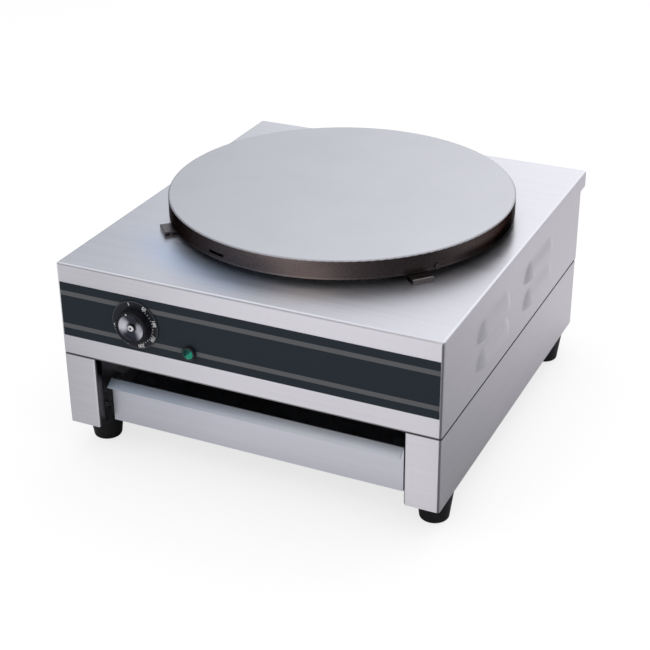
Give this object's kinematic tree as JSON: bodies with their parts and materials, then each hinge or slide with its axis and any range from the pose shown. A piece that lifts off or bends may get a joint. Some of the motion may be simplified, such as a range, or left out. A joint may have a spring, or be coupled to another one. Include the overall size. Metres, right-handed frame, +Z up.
{
  "type": "electric crepe maker",
  "caption": "Round cast-iron hotplate on a folded steel casing with thermostat dial and lamp, over a base with an open bay and a sliding drawer, on rubber feet.",
  "frame": {"origin": "on the surface the feet stand on, under the middle of the bounding box", "axes": "+Z up, -Y the control front, +X to the right seen from the front"},
  "size_m": [0.459, 0.504, 0.264],
  "materials": {
    "casing_steel": "brushed stainless steel",
    "drawer_steel": "brushed stainless steel",
    "inner_steel": "plain galvanised sheet",
    "plate_iron": "machined and seasoned top, dark bare rim",
    "bracket_steel": "plain bent strip",
    "fastener_steel": "zinc-plated",
    "element_sheath": "dull oxidised sheath",
    "ceramic_fibre": "soft white board",
    "capillary_copper": "drawn tube",
    "overlay_film": "dark film with paler stripes",
    "dial_print": "satin with white print",
    "knob_plastic": "satin black, fluted",
    "knob_chrome": "turned and polished",
    "black_plastic": "moulded",
    "green_lens": "clear green moulding",
    "gland_plastic": "moulded nylon",
    "seal_rubber": "soft moulding",
    "terminal_plastic": "moulded",
    "terminal_brass": "plain",
    "wire_silicone": "silicone sleeve",
    "foot_rubber": "moulded black rubber"
  },
  "bodies": {
    "casing": {"assembly_nuts": "fastener_steel", "assembly_screws": "fastener_steel", "base_channel_left": "casing_steel", "base_channel_right": "casing_steel", "base_rear_panel": "casing_steel", "bracket_rivets": "fastener_steel", "burner_pan": "inner_steel", "casing_floor": "inner_steel", "clamp_disc": "inner_steel", "control_overlay": "overlay_film", "dial_ring": "dial_print", "drawer_runner_left": "inner_steel", "drawer_runner_right": "inner_steel", "earth_stud": "terminal_brass", "foot_front_left": "foot_rubber", "foot_front_right": "foot_rubber", "foot_nuts": "fastener_steel", "foot_rear_left": "foot_rubber", "foot_rear_right": "foot_rubber", "foot_screws": "fastener_steel", "foot_washers": "fastener_steel", "gland_body": "gland_plastic", "gland_dome_nut": "gland_plastic", "gland_lock_nut": "gland_plastic", "gland_seal": "seal_rubber", "griddle_plate": "plate_iron", "inner_element": "element_sheath", "insulation_disc": "ceramic_fibre", "internal_wires": "wire_silicone", "lamp_bezel": "black_plastic", "lamp_holder": "black_plastic", "lamp_lens": "green_lens", "lamp_nut": "black_plastic", "outer_element": "element_sheath", "plate_brackets": "bracket_steel", "plate_nuts": "fastener_steel", "plate_set_screw": "fastener_steel", "plate_studs": "fastener_steel", "rear_panel": "casing_steel", "rear_panel_screws": "fastener_steel", "runner_brackets": "inner_steel", "sensing_capillary": "capillary_copper", "terminal_block": "terminal_plastic", "terminal_screws": "terminal_brass", "thermal_cutout": "black_plastic", "thermostat_body": "black_plastic", "thermostat_screws": "fastener_steel", "top_cover": "casing_steel"},
    "drawer": {"drawer_front": "drawer_steel", "drawer_tray": "drawer_steel"},
    "knob": {"knob_body": "knob_plastic", "knob_cap": "knob_chrome", "thermostat_spindle": "fastener_steel"}
  },
  "joints": [
    {"name": "knob_turn", "type": "hinge", "parent": "casing", "child": "knob", "pos_m": [-0.1275, -0.2455, 0.18], "axis": [0, 1, 0], "range_deg": [0, 270]},
    {"name": "drawer_slide", "type": "slide", "parent": "casing", "child": "drawer", "axis": [0, -1, 0], "range_m": [0, 0.35]}
  ]
}
